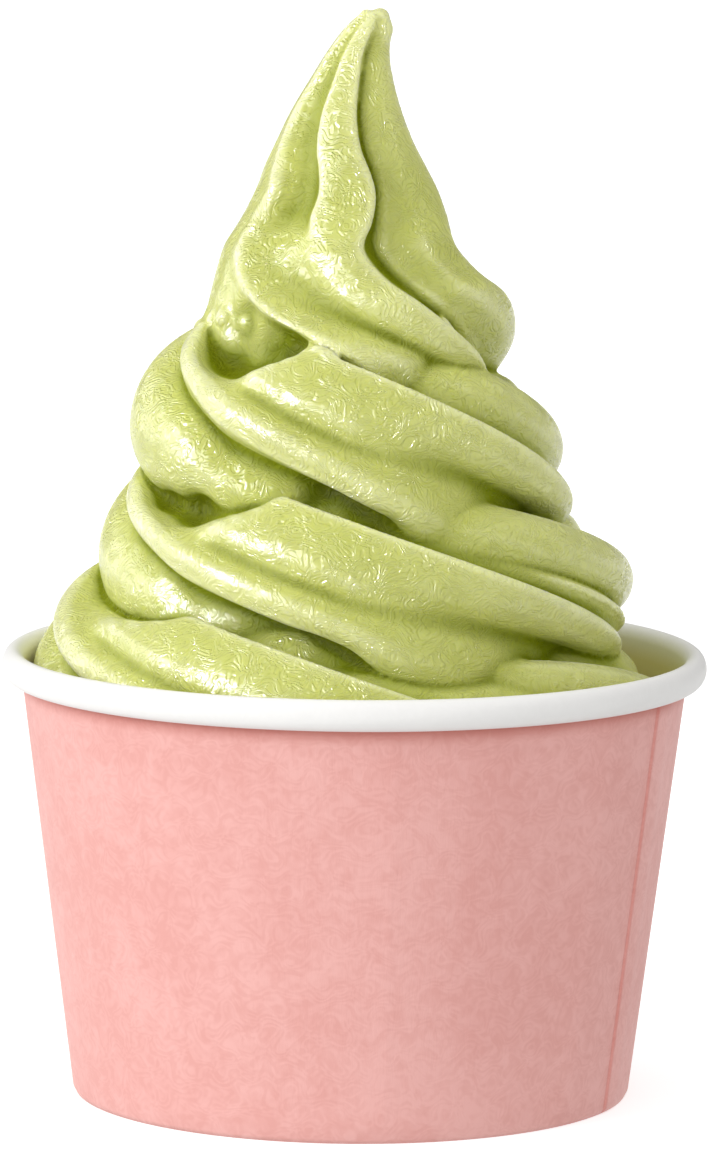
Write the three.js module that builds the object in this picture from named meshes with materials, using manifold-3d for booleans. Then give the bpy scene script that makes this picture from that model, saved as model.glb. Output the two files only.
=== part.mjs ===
// A paper cup of soft-serve frozen yogurt. Millimetres, +Z up, origin at the middle of the cup's foot.
// Seen from the front, -Y is towards the viewer and +X is to the right.
import * as THREE from "three";
import { mergeVertices } from "three/addons/utils/BufferGeometryUtils.js";
import Module from "manifold-3d";

const wasm = await Module();
wasm.setup();

// ---- Cup -------------------------------------------------------------------------------------
const CUP_HEIGHT = 61;
const BOARD = 0.6; // thickness of the paper board
const FOOT_RADIUS = 38.1; // outside, at the bottom
const MOUTH_RADIUS = 45.9; // outside of the wall, carried up to the top of the cup
const RIM_HEIGHT = 4.2; // the rolled rim is an oval tube
const RIM_WIDTH = 3.1;
const HEM_HEIGHT = 6; // the wall is folded in and up round the base's skirt
const HEM_THICKNESS = 1.5;
const SKIRT_DROP = 5; // the base disc's turned-down edge
const GAP = 0.3; // between pieces that touch
const BASE_Z = HEM_HEIGHT + GAP; // underside of the base disc
const SEAM_ANGLE = -27; // degrees from +X to the middle of the wall's glued overlap
const SEAM_STEPS = 2; // width of the overlap, in turning steps
const TURN_STEPS = 64;
const RIM_STEPS = 14;

// ---- Rope of frozen yogurt ---------------------------------------------------------------------
// A star nozzle turns clockwise, seen from above, and climbs. Station 0 is at the back, low in the
// cup, and each coil station is a quarter of a turn on.
const FIRST_ANGLE = 810; // degrees, at station 0
const ROPE_RADIUS_START = 13.5;
const ROPE_RADIUS_END = 15.5;
const ROPE_SAG = 0.92; // the lying rope is a little flatter than it is wide
// The coil at each quarter turn, going back, right, front, left and so on upwards: its outer
// radius, the height of its middle, and the degrees by which its outline is turned.
const COIL = [
  [44, 46.2, 0],
  [44.5, 51.2, 5],
  [44.5, 55.3, 0],
  [44.3, 59.3, -15],
  [42.3, 64.3, 2],
  [38.6, 69.3, 8],
  [36.6, 73.2, 1],
  [34.8, 76, -13],
  [30.6, 82.4, 5],
  [31.8, 87.5, 13],
  [29.8, 91.2, 11],
  [30.2, 93.5, 8],
  [25.5, 100.2, 7],
  [17.5, 105.5, 7],
];
const LEAN = -1; // the coils' axis moves sideways as they climb, by this much in all
const LEAN_TO_Z = 100;

const GROOVE_DEPTH = 0.34; // of the rope's radius
// The rope's outline in front, and what it turns into on the left and on the right: the angle of
// each ridge and groove round it, and its height from 0 in a full groove to 1 on a full ridge. It
// curves smoothly from each to the next. On the left the strip behind the front ridge is sunk.
const COIL_FRONT = [
  [2, 0.96],
  [30, 0.28],
  [64, 0.7],
  [78, 0.1],
  [120, 1],
  [136, 0.2],
  [160, 1.1],
  [182, 1],
  [219, 0],
  [246, 1],
  [261, 0.77],
  [286, 1],
  [311, 1.05],
  [321, 0],
];
const COIL_LEFT = [
  [2, 0.96],
  [30, 0.28],
  [64, 0.7],
  [78, 0.1],
  [120, 1],
  [136, 0.2],
  [160, 1.14],
  [182, 1],
  [225, 0.15],
  [247, 1],
  [268, -0.45],
  [290, -0.35],
  [311, 0.2],
  [321, 0],
];
const COIL_RIGHT = [
  [2, 0.96],
  [30, 0.28],
  [64, 0.7],
  [78, 0.1],
  [120, 1],
  [136, 0.2],
  [160, 1.07],
  [174, 1],
  [202, 0.38],
  [238, 1.12],
  [264, 0.86],
  [281, 0.28],
  [311, 1.2],
  [321, 0],
];
// Where the rope swells, or thins where the last number is below 0. For each: where along the rope,
// how far, where round it, how far, and by how much.
const SWELLINGS = [
  [5.55, 0.42, 232, 24, 1.3],
  [9.55, 0.42, 238, 22, 0.75],
  [1.72, 0.28, 335, 40, -1.2],
  [11.6, 0.45, 165, 32, -1.5],
];
const LEFT_FROM = 0.42; // how far to the left the rope has gone, of 1, where its outline starts and
const LEFT_TO = 0.64; // ends changing to the left one

// The coils end under an upright peak. Its heights, radii, the sideways place of its axis, and the
// world angle of the lip down its front:
const PEAK = [
  [95, 17, 0, -22],
  [98, 20.2, 0, -29],
  [102, 21.6, 0.3, -39],
  [105.5, 21.6, 0.3, -49.5],
  [110, 20.3, 0, -64],
  [113, 18.3, -1, -73],
  [116, 16.6, -1.6, -79.5],
  [118, 15.4, -1.4, -81],
  [120.5, 14.1, -1.2, -76.5],
  [124, 12.4, -1.1, -72.5],
  [127, 11.1, -1.3, -73.5],
  [130.5, 9.5, -1.3, -79.5],
  [134.6, 7.7, -1.1, -82.5],
  [138.7, 5.8, -0.5, -83],
  [142.7, 4.2, 0.5, -84.5],
  [146, 3, 1.8, -84],
  [147.9, 1.2, 2.5, -84],
];
// The peak's outline at its foot, in the bowl above that, and at its top: ridges and grooves again.
const PEAK_LIP = 300;
const PEAK_FOOT = [
  [0, 1],
  [18, 0.2],
  [60, 1],
  [78, 0.15],
  [120, 1],
  [138, 0.15],
  [178, 0.95],
  [236, 0.5],
  [251, 1],
  [280, 0.36],
  [291, 0.9],
  [300, 1.02],
  [312, 0.1],
];
const PEAK_BOWL = [
  [0, 1],
  [18, 0.2],
  [60, 1],
  [78, 0.15],
  [120, 1],
  [138, 0.15],
  [178, 0.95],
  [218, 0.86],
  [230, 1],
  [250, 0.34],
  [276, 0.84],
  [300, 1.02],
  [312, 0.15],
];
const PEAK_TOP = [
  [0, 1],
  [18, 0.2],
  [60, 1],
  [78, 0.15],
  [120, 1],
  [138, 0.15],
  [178, 0.95],
  [212, 0.87],
  [224, 1],
  [248, 0.2],
  [268, 0.82],
  [300, 1.02],
  [310, 0.06],
];
const FOOT_TO_Z = 102; // below this the peak has its foot's outline,
const BOWL_FROM_Z = 111; // from here
const BOWL_TO_Z = 117; // to here the bowl's,
const TOP_FROM_Z = 122; // and above this its top's

const OUTLINE_STEP = 11; // degrees at most between points of an outline
const PEAK_STEPS = 2; // rings in each stretch of the peak
const RING_STEP = 12; // degrees travelled between cross-sections
const RINGS_PER_PIECE = 6;
const FILL_LEVEL = 50; // yogurt fills the cup up to here under the coils
const CORE_TOP = 112; // the coils are solid inside, from the rope's centre line inwards
const SAME_POINT = 1e-3; // points closer than this are one
const CLEANING = 0.03; // edges shorter than this, left by the joining, are closed up
const WELL_CLEAR = 60; // radius that misses everything above the rim

const DEG = Math.PI / 180;

// ---- Small helpers -----------------------------------------------------------------------------

// Value of a list of stations at a fractional index, by a Catmull-Rom curve through them.
function between(list, at) {
  const last = list.length - 1;
  const i = Math.min(Math.max(Math.floor(at), 0), last - 1);
  const t = Math.min(Math.max(at - i, 0), 1);
  const a = list[Math.max(i - 1, 0)];
  const b = list[i];
  const c = list[i + 1];
  const d = list[Math.min(i + 2, last)];
  const square = 2 * a - 5 * b + 4 * c - d;
  const cube = 3 * b - a - 3 * c + d;
  return b + 0.5 * t * (c - a + t * (square + t * cube));
}

// 0 before `from`, 1 after `to`, smooth between.
function ease(value, from, to) {
  const t = Math.min(Math.max((value - from) / (to - from), 0), 1);
  return t * t * (3 - 2 * t);
}

// A closed geometry as a manifold-3d solid.
function solidOf(geometry) {
  const bare = geometry.clone();
  bare.deleteAttribute("normal");
  bare.deleteAttribute("uv");
  const merged = mergeVertices(bare, SAME_POINT);
  const mesh = new wasm.Mesh({
    numProp: 3,
    vertProperties: merged.attributes.position.array,
    triVerts: new Uint32Array(merged.index.array),
  });
  return new wasm.Manifold(mesh);
}

function geometryOf(solid) {
  const mesh = solid.getMesh();
  const geometry = new THREE.BufferGeometry();
  geometry.setAttribute("position", new THREE.BufferAttribute(mesh.vertProperties, 3));
  geometry.setIndex(new THREE.BufferAttribute(mesh.triVerts, 1));
  geometry.computeVertexNormals();
  return geometry;
}

// Joining leaves specks where the pieces' end faces meet, so only the largest body is kept.
function largestBody(solid) {
  return solid.decompose().reduce((a, b) => (a.volume() > b.volume() ? a : b));
}

// A profile of [radius, height] pairs, counter-clockwise with the axis on the left, turned about Z.
function turned(profile, steps = TURN_STEPS) {
  const points = profile.map(([r, z]) => new THREE.Vector2(r, z));
  return new THREE.LatheGeometry(points, steps).rotateX(Math.PI / 2);
}

// Outside radius of the cup's wall at a height.
function wallRadius(z) {
  return FOOT_RADIUS + ((MOUTH_RADIUS - FOOT_RADIUS) * z) / CUP_HEIGHT;
}

// ---- Cup wall with its rolled rim and hem --------------------------------------------------------
function cupWall() {
  const rimBottom = CUP_HEIGHT - RIM_HEIGHT;
  const rimMiddle = CUP_HEIGHT - RIM_HEIGHT / 2;
  const rimCentre = wallRadius(rimMiddle) - BOARD + RIM_WIDTH / 2;
  const profile = [
    [FOOT_RADIUS - HEM_THICKNESS, 0],
    [FOOT_RADIUS, 0],
    [wallRadius(HEM_HEIGHT), HEM_HEIGHT],
    [wallRadius(CUP_HEIGHT / 2), CUP_HEIGHT / 2],
    [wallRadius(rimBottom + 0.5), rimBottom + 0.5],
  ];
  // The roll starts where it leaves the wall's outside and ends flush with the wall's inside.
  const start = -110 * DEG;
  const end = 180 * DEG;
  for (let i = 0; i <= RIM_STEPS; i++) {
    const a = start + ((end - start) * i) / RIM_STEPS;
    profile.push([
      rimCentre + (RIM_WIDTH / 2) * Math.cos(a),
      rimMiddle + (RIM_HEIGHT / 2) * Math.sin(a),
    ]);
  }
  profile.push([wallRadius(CUP_HEIGHT / 2) - BOARD, CUP_HEIGHT / 2]);
  profile.push([wallRadius(HEM_HEIGHT) - BOARD, HEM_HEIGHT]);
  profile.push([wallRadius(HEM_HEIGHT) - HEM_THICKNESS, HEM_HEIGHT]);
  profile.push([FOOT_RADIUS - HEM_THICKNESS, 0]);
  const geometry = turned(profile);
  // The side seam: over a few steps the outside stands one board further out.
  const place = geometry.attributes.position;
  const halfSeam = (SEAM_STEPS / 2 + 0.01) * (360 / TURN_STEPS);
  for (let i = 0; i < place.count; i++) {
    const x = place.getX(i);
    const y = place.getY(i);
    const z = place.getZ(i);
    const radius = Math.hypot(x, y);
    const away = Math.abs(Math.atan2(y, x) / DEG - SEAM_ANGLE);
    const outside = radius > wallRadius(z) - BOARD / 2 && z < rimBottom;
    if (outside && away < halfSeam) {
      const grown = (radius + BOARD) / radius;
      place.setXY(i, x * grown, y * grown);
    }
  }
  return geometry;
}

// ---- Base disc, which rests on the hem, with its turned-down skirt inside it ----------------------
function cupBase() {
  const skirtRadius = wallRadius(0) - HEM_THICKNESS - GAP;
  const discRadius = wallRadius(BASE_Z) - BOARD - GAP;
  return turned([
    [0, BASE_Z],
    [skirtRadius - BOARD, BASE_Z],
    [skirtRadius - BOARD, BASE_Z - SKIRT_DROP],
    [skirtRadius, BASE_Z - SKIRT_DROP],
    [skirtRadius, BASE_Z],
    [discRadius, BASE_Z],
    [discRadius, BASE_Z + BOARD],
    [0, BASE_Z + BOARD],
  ]);
}

// ---- The rope --------------------------------------------------------------------------------------
const lastStation = COIL.length - 1;
const stations = COIL.map(([reach, z, turn], i) => {
  const radius = ROPE_RADIUS_START + ((ROPE_RADIUS_END - ROPE_RADIUS_START) * i) / lastStation;
  return { z, offset: reach - radius, radius, turn };
});

function stationValue(name, at) {
  return between(
    stations.map((s) => s[name]),
    at,
  );
}

function ropeCentre(at) {
  const z = stationValue("z", at);
  const offset = stationValue("offset", at);
  const angle = (FIRST_ANGLE - 90 * at) * DEG;
  const lean = LEAN * ease(z, CUP_HEIGHT, LEAN_TO_Z);
  return new THREE.Vector3(lean + offset * Math.cos(angle), offset * Math.sin(angle), z);
}

function ropeDirection(at) {
  const step = 0.02;
  const ahead = ropeCentre(Math.min(at + step, lastStation));
  const behind = ropeCentre(Math.max(at - step, 0));
  return ahead.sub(behind).normalize();
}

// Points round an outline of ridges and grooves: the angle of each and its arm, for a rope of radius 1.
function outlinePoints(outline, counts) {
  return outline.flatMap(([angle, height], i) => {
    const [next, nextHeight] = outline[(i + 1) % outline.length];
    const span = (next - angle + 360) % 360;
    return Array.from({ length: counts[i] }, (_, k) => {
      const share = k / counts[i];
      const level = height + (nextHeight - height) * ease(share, 0, 1);
      return { angle: angle + span * share, arm: 1 - GROOVE_DEPTH * (1 - level) };
    });
  });
}

// How many points an outline needs from each ridge or groove to the next.
function outlineCounts(outline) {
  return outline.map(([angle], i) => {
    const span = (outline[(i + 1) % outline.length][0] - angle + 360) % 360;
    return Math.ceil(span / OUTLINE_STEP);
  });
}

function levelRing(points, radius, turn) {
  return points.map(({ angle, arm }) => {
    const world = (angle + turn) * DEG;
    return new THREE.Vector3(Math.cos(world), Math.sin(world), 0).multiplyScalar(radius * arm);
  });
}

// The outline partway from one to another, ridge by ridge.
function blended(from, to, share) {
  return from.map((corner, i) => corner.map((value, k) => value + share * (to[i][k] - value)));
}

// How much thicker the rope is at an angle round it: its bellies sag over the coil below.
function swelling(at, angle) {
  let height = 0;
  for (const [middle, length, round, width, by] of SWELLINGS) {
    height += by * Math.exp(-(((at - middle) / length) ** 2) - ((angle - round) / width) ** 2);
  }
  return height;
}

// A cross-section of the coil: a star that came out of the nozzle upright and was laid over.
function coilSection(at) {
  const rightness = Math.cos((FIRST_ANGLE - 90 * at) * DEG);
  const leftwards = blended(COIL_FRONT, COIL_LEFT, ease(-rightness, LEFT_FROM, LEFT_TO));
  const outline = blended(leftwards, COIL_RIGHT, Math.max(rightness, 0));
  const swollen = outline.map(([angle, height]) => [angle, height + swelling(at, angle)]);
  const points = outlinePoints(swollen, outlineCounts(COIL_FRONT));
  const centre = ropeCentre(at);
  const laid = new THREE.Quaternion().setFromUnitVectors(new THREE.Vector3(0, 0, 1), ropeDirection(at));
  const ring = levelRing(points, stationValue("radius", at), stationValue("turn", at));
  for (const point of ring) {
    point.applyQuaternion(laid);
    point.z *= ROPE_SAG;
    point.add(centre);
  }
  return { centre, ring };
}

// A level cross-section of the peak.
function peakSection(at) {
  const [z, radius, sideways, lip] = [0, 1, 2, 3].map((k) =>
    between(
      PEAK.map((row) => row[k]),
      at,
    ),
  );
  const low = blended(PEAK_FOOT, PEAK_BOWL, ease(z, FOOT_TO_Z, BOWL_FROM_Z));
  const outline = blended(low, PEAK_TOP, ease(z, BOWL_TO_Z, TOP_FROM_Z));
  const centre = new THREE.Vector3(sideways, 0, z);
  const points = outlinePoints(outline, outlineCounts(PEAK_TOP));
  const ring = levelRing(points, radius, lip - PEAK_LIP);
  ring.forEach((point) => point.add(centre));
  return { centre, ring };
}

// A closed loft through cross-sections, with a fan at each end.
function lofted(sections) {
  const points = sections.flatMap((s) => s.ring);
  points.push(sections[0].centre, sections.at(-1).centre);
  const n = sections[0].ring.length;
  const faces = [];
  for (let r = 0; r + 1 < sections.length; r++) {
    for (let i = 0; i < n; i++) {
      const a = r * n + i;
      const b = r * n + ((i + 1) % n);
      faces.push(a, b, b + n, a, b + n, a + n);
    }
  }
  const low = points.length - 2;
  const high = points.length - 1;
  const lastRing = (sections.length - 1) * n;
  for (let i = 0; i < n; i++) {
    const j = (i + 1) % n;
    faces.push(low, j, i, high, lastRing + i, lastRing + j);
  }
  const geometry = new THREE.BufferGeometry();
  const flatPoints = points.flatMap((p) => [p.x, p.y, p.z]);
  geometry.setAttribute("position", new THREE.Float32BufferAttribute(flatPoints, 3));
  geometry.setIndex(faces);
  return geometry;
}

// ---- Frozen yogurt: the coiled rope, the filled cup under it, and the space they may take --------
function frozenYogurt() {
  const ringCount = Math.round((90 * lastStation) / RING_STEP);
  const rings = Array.from({ length: ringCount + 1 }, (_, i) => coilSection((lastStation * i) / ringCount));
  const pieces = [];
  for (let first = 0; first < ringCount; first += RINGS_PER_PIECE) {
    pieces.push(solidOf(lofted(rings.slice(first, first + RINGS_PER_PIECE + 1))));
  }
  const peakRings = (PEAK.length - 1) * PEAK_STEPS;
  const peak = Array.from({ length: peakRings + 1 }, (_, i) => peakSection(i / PEAK_STEPS));
  pieces.push(solidOf(lofted(peak)));

  const floor = BASE_Z + BOARD + GAP;
  const inside = (z) => wallRadius(z) - BOARD - GAP;
  const fill = turned([
    [0, floor],
    [inside(floor), floor],
    [inside(FILL_LEVEL), FILL_LEVEL],
    [0, FILL_LEVEL],
  ]);
  const firstTurn = stations[4];
  const lastTurn = stations.at(-2);
  const core = turned([
    [0, FILL_LEVEL - 5],
    [stations[0].offset, FILL_LEVEL - 5],
    [firstTurn.offset, firstTurn.z],
    [lastTurn.offset, lastTurn.z],
    [0, CORE_TOP],
  ]);
  const mouth = inside(CUP_HEIGHT - RIM_HEIGHT / 2);
  const room = turned([
    [0, floor],
    [inside(floor), floor],
    [mouth, CUP_HEIGHT - RIM_HEIGHT / 2],
    [mouth, CUP_HEIGHT + GAP],
    [WELL_CLEAR, CUP_HEIGHT + WELL_CLEAR - mouth],
    [WELL_CLEAR, 3 * WELL_CLEAR],
    [0, 3 * WELL_CLEAR],
  ]);
  let yogurt = solidOf(fill).add(solidOf(core));
  for (const piece of pieces) {
    yogurt = yogurt.add(piece);
  }
  const joined = largestBody(yogurt.intersect(solidOf(room)).simplify(CLEANING));
  return geometryOf(largestBody(solidOf(geometryOf(joined))));
}

// ---- The part -----------------------------------------------------------------------------------------
const pinkBoard = new THREE.MeshStandardMaterial({ color: 0xf0a9a4, roughness: 0.75, metalness: 0 });
const whiteBoard = new THREE.MeshStandardMaterial({ color: 0xf2f0ec, roughness: 0.75, metalness: 0 });
const yogurt = new THREE.MeshStandardMaterial({ color: 0xc9d67a, roughness: 0.4, metalness: 0 });

function piece(name, geometry, material) {
  const mesh = new THREE.Mesh(geometry, material);
  mesh.name = name;
  return mesh;
}

const cup = new THREE.Group();
cup.add(piece("cup_wall", cupWall(), pinkBoard));
cup.add(piece("cup_base", cupBase(), whiteBoard));

const part = new THREE.Group();
part.add(cup);
part.add(piece("frozen_yogurt", frozenYogurt(), yogurt));

export default part;
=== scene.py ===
"""Looks for a paper cup of soft-serve frozen yogurt: a fine swirl, the cup's board, light and camera."""

import math

import bpy
import numpy as np
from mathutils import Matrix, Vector, kdtree


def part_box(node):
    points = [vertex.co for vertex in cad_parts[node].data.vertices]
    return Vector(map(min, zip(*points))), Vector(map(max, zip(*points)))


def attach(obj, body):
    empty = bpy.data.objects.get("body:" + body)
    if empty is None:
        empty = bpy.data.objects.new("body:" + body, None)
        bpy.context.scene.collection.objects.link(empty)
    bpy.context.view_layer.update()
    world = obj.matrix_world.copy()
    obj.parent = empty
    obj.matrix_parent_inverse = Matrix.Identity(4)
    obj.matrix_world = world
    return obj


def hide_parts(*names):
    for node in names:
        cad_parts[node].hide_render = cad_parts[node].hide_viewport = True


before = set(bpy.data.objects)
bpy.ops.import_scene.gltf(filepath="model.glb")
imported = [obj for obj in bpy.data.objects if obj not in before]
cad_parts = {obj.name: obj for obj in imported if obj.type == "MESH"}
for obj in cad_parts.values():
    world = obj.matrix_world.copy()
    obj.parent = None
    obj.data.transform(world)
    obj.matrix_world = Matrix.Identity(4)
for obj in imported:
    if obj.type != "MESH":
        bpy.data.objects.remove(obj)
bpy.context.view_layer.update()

MM = 0.001
DEG = math.pi / 180

# ---- Cup, in millimetres and degrees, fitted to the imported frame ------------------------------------
wall_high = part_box("cup_wall")[1]
CUP_HEIGHT = wall_high.z / MM
RIM_RADIUS = wall_high.y / MM  # outside of the rolled rim
RIM_HEIGHT = 4.2
RIM_WIDTH = 3.1
RIM_FROM = -110  # the rim is rolled round from this angle
RIM_TO = 180  # to this one
RIM_BOTTOM = CUP_HEIGHT - RIM_HEIGHT
RIM_MIDDLE = CUP_HEIGHT - RIM_HEIGHT / 2
BOARD = 0.6
MOUTH_RADIUS = 45.9  # outside of the wall, carried up to the top of the cup
FOOT_RADIUS = 38.1
FOOT_ROUND = 0.7  # the fold at the foot is a little round, to this height
FOOT_INSET = 0.28  # and comes in by this much at the floor
HEM_HEIGHT = 6
HEM_THICKNESS = 1.5
SKIRT_DROP = 5
GAP = 0.3
BASE_Z = HEM_HEIGHT + GAP
SEAM_ANGLE = -26  # from +X, where the wall's board starts to lie over itself
SEAM_WIDTH = 9  # how many degrees further it has sunk back into the wall
SEAM_STEP = 0.3  # how far its outer layer stands out
SEAM_EDGE = 0.12  # half the width of that layer's edge, in degrees
TURN_STEPS = 288
RIM_STEPS = 40
WALL_STEPS = 24
LINING_STEPS = 12
CENTRE = 0.01  # radius at which a disc closes

# ---- Rope of frozen yogurt, in millimetres and degrees ---------------------------------------------
FIRST_ANGLE = 810
ROPE_RADIUS_START = 13.5
ROPE_RADIUS_END = 15.5
ROPE_SAG = 0.92
# The coil at each quarter turn, going back, right, front, left and so on upwards: its outer radius,
# the height of its middle, and how far its outline is turned.
COIL = [
    (44, 46.2, 0),
    (44.5, 51.2, 5),
    (44.5, 55.3, 0),
    (44.3, 59.3, -15),
    (42.3, 64.3, 2),
    (38.6, 69.3, 8),
    (36.6, 73.2, 1),
    (34.8, 76, -13),
    (30.6, 82.4, 5),
    (31.8, 87.5, 13),
    (29.8, 91.2, 11),
    (30.2, 93.5, 8),
    (25.5, 100.2, 7),
    (17.5, 105.5, 7),
]
LEAN = -1  # the coils' axis moves sideways as they climb, by this much in all
LEAN_TO_Z = 100

GROOVE_DEPTH = 0.34
# The rope's outline where it lies on the left of the cup, at the front and on the right: an angle
# round the rope and the height there, 0 in a deep groove and 1 on a lip, for each of the three.
COIL_OUTLINE = [
    (0, 0.95, 0, 0.95, 0, 0.95),
    (8, 0.97, 8, 0.97, 8, 0.97),
    (18, 0.8, 18, 0.8, 18, 0.8),
    (26, 0.3, 26, 0.3, 26, 0.3),
    (34, 0.3, 34, 0.3, 34, 0.3),
    (48, 0.55, 48, 0.55, 48, 0.55),
    (64, 0.7, 64, 0.7, 64, 0.7),
    (70, 0.5, 70, 0.5, 70, 0.5),
    (78, 0.1, 78, 0.1, 78, 0.1),
    (92, 0.4, 92, 0.4, 92, 0.4),
    (106, 0.7, 106, 0.7, 106, 0.7),
    (120, 1, 120, 1, 120, 1),
    (128, 0.6, 128, 0.6, 128, 0.6),
    (136, 0.2, 136, 0.2, 136, 0.2),
    (144, 0.6, 144, 0.6, 144, 0.6),
    (152, 1.02, 152, 1, 152, 0.98),
    (160, 1.14, 160, 1.1, 160, 1.07),
    (168, 1.12, 168, 1.08, 166, 1.06),
    (176, 1.06, 176, 1.04, 172, 1),
    (185, 0.98, 185, 0.98, 180, 0.85),
    (198, 0.84, 197, 0.72, 188, 0.6),
    (210, 0.6, 207, 0.25, 196, 0.4),
    (220, 0.3, 215, -0.05, 204, 0.35),
    (228, 0.1, 222, -0.05, 211, 0.6),
    (234, 0.5, 229, 0.4, 218, 0.92),
    (240, 0.88, 236, 0.9, 226, 1.08),
    (247, 1, 246, 1.01, 238, 1.12),
    (252, 0.9, 251, 0.97, 250, 1.08),
    (256, 0.5, 256, 0.8, 257, 1),
    (260, 0.3, 260, 0.7, 266, 0.84),
    (265, 0.15, 264, 0.72, 273, 0.52),
    (272, 0.05, 268, 0.85, 278, 0.3),
    (280, 0, 274, 0.97, 283, 0.3),
    (288, 0, 283, 1, 289, 0.78),
    (295, 0.1, 294, 1, 295, 1.08),
    (301, 0.15, 302, 1, 301, 1.18),
    (307, 0.2, 307, 1.05, 307, 1.22),
    (310, 0.1, 310, 0.7, 310, 0.7),
    (315, 0, 315, 0.15, 315, 0.15),
    (323, -0.05, 323, -0.05, 323, -0.05),
    (332, 0.2, 332, 0.2, 332, 0.2),
    (342, 0.6, 342, 0.6, 342, 0.6),
    (352, 0.85, 352, 0.85, 352, 0.85),
]
LEFT_FROM = 0.32  # how far to the left the rope has gone, of 1, where its lip starts to change
LEFT_SPAN = 0.2  # to the left outline, how much further it has changed,
LEFT_SLANT = 0.006  # and by how much later for each degree below the lip,
SLANT_TO = 256  # down to this angle
LOW_LEFT_LATER = 0.3  # On the lowest coil it changes by this much later,
LOW_LEFT_FROM = 3.5  # up to this place along the rope,
LOW_LEFT_TO = 4.5  # and from here on no later than the others.
COIL_LIP = 307
HOOK = 4  # degrees by which the front lip leans over the groove beside it
HOOK_WIDTH = 5
# A second ridge behind the lip, on the right of the middle coil.
SECOND_RIDGE_AT = 5
SECOND_RIDGE_LENGTH = 0.45
SECOND_RIDGE = [(306, 0), (312, 0.75), (320, 0.68), (329, 0.9), (332, 0.5), (338, 0)]
# Where the rope is thinner, or thicker if the last number is below 0. For each the place along the
# rope, how far it spreads, the angle round the rope, how far it spreads, and by how much.
THINNED = [
    # the bellies of the middle and top coils, which sag over the coil below, and the room there
    (5.55, 0.42, 232, 24, -1.3),
    (9.55, 0.42, 238, 22, -0.75),
    (1.72, 0.28, 335, 40, 1.2),
    # the lobe behind the left of the top coil and the lip behind its right
    (11.6, 0.45, 165, 32, 1.5),
    (8.5, 0.3, 310, 16, 0.9),
    # the outer lobes at the right of the top and middle coils
    (9, 0.42, 12, 40, 0.52),
    (5.05, 0.4, 36, 22, 0.4),
]

# The peak's outline at its top, in the bowl below and at its foot: an angle and a height for each.
PEAK_OUTLINE = [
    (0, 1, 0, 1, 0, 1),
    (10, 0.6, 10, 0.6, 10, 0.6),
    (18, 0.2, 18, 0.2, 18, 0.2),
    (30, 0.3, 30, 0.3, 30, 0.3),
    (45, 0.7, 45, 0.7, 45, 0.7),
    (60, 1, 60, 1, 60, 1),
    (70, 0.6, 70, 0.6, 70, 0.6),
    (78, 0.15, 78, 0.15, 78, 0.15),
    (90, 0.3, 90, 0.3, 90, 0.3),
    (105, 0.7, 105, 0.7, 105, 0.7),
    (120, 1, 120, 1, 120, 1),
    (130, 0.6, 130, 0.6, 130, 0.6),
    (138, 0.15, 138, 0.15, 138, 0.15),
    (150, 0.4, 150, 0.4, 150, 0.4),
    (165, 0.8, 165, 0.8, 165, 0.8),
    (180, 0.95, 180, 0.95, 180, 0.95),
    (195, 0.9, 198, 0.92, 200, 0.85),
    (214, 0.88, 218, 0.86, 236, 0.5),
    (224, 1, 230, 1, 251, 1),
    (229, 0.85, 234, 0.86, 257, 0.98),
    (235, 0.45, 239, 0.68, 266, 0.94),
    (243, 0.22, 246, 0.54, 274, 0.8),
    (254, 0.22, 257, 0.48, 279, 0.7),
    (260, 0.3, 267, 0.58, 283, 0.76),
    (262, 0.8, 272, 0.72, 287, 0.88),
    (271, 0.84, 281, 0.86, 290, 0.94),
    (284, 0.9, 289, 0.96, 293, 0.97),
    (296, 1.02, 296, 1.02, 297, 1.02),
    (299, 0.7, 299, 0.7, 300, 0.7),
    (303, 0.15, 304, 0.2, 305, 0.2),
    (308, 0.06, 310, 0.08, 314, 0.08),
    (313, 0.28, 316, 0.3, 321, 0.26),
    (322, 0.38, 326, 0.42, 328, 0.35),
    (336, 0.7, 338, 0.8, 340, 0.75),
    (350, 0.92, 350, 0.92, 350, 0.92),
]
PEAK_LIP = 296
FOOT_TO_Z = 102  # below this the peak has its foot's outline,
BOWL_FROM_Z = 111  # and from here up to
BOWL_TO_Z = 117  # here the bowl's, and above
TOP_FROM_Z = 122  # this its top's
# The peak: height, radius, sideways place of its axis, and the angle of the lip down its front.
PEAK = [
    (95, 17, 0, -22),
    (98, 20.2, 0, -29),
    (102, 21.6, 0.3, -39),
    (105.5, 21.6, 0.3, -49.5),
    (110, 20.3, 0, -64),
    (113, 18.4, -1.2, -73),
    (116, 16.8, -1.9, -79.5),
    (118, 15.7, -1.8, -81),
    (120.5, 14.4, -1.6, -76.5),
    (124, 12.7, -1.5, -72.5),
    (127, 11.4, -1.7, -73.5),
    (130.5, 9.8, -1.7, -79.5),
    (134.6, 8, -1.5, -82.5),
    (138.7, 6.1, -0.9, -83),
    (142.7, 4.5, 0, -84.5),
    (146, 3.4, 1.4, -84),
    (147.9, 1.7, 2, -84),
]
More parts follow.
